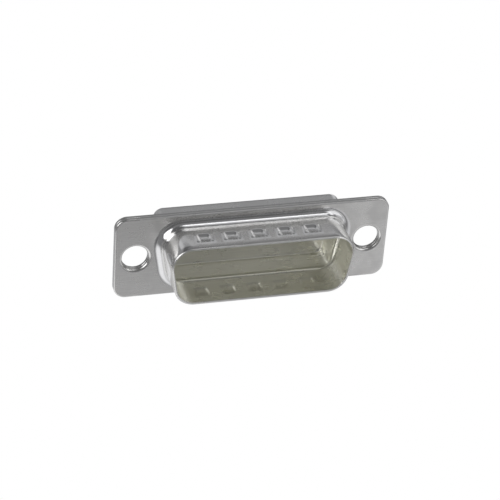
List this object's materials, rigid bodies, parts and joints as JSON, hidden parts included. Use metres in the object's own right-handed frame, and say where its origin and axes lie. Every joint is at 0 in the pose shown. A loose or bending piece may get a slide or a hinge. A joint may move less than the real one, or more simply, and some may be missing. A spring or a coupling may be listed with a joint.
{
  "type": "d-sub connector shell",
  "caption": "Empty sheet-metal shell of a D-sub plug: a D-shaped mouth with pressed dimples, a drilled flange and a closed D-shaped cup behind it.",
  "frame": {"origin": "on the flange's front face, midway between the two screw holes", "axes": "+X along the row of holes, -Y out of the mouth towards the mating half, +Z towards the wide side of the D"},
  "size_m": [0.0392, 0.0108, 0.0126],
  "materials": {
    "plated_steel": "satin tin plating on drawn steel sheet",
    "plated_steel_rear": "satin tin plating on drawn steel sheet"
  },
  "bodies": {
    "root": {"front_shell": "plated_steel", "rear_shell": "plated_steel_rear"}
  },
  "joints": []
}
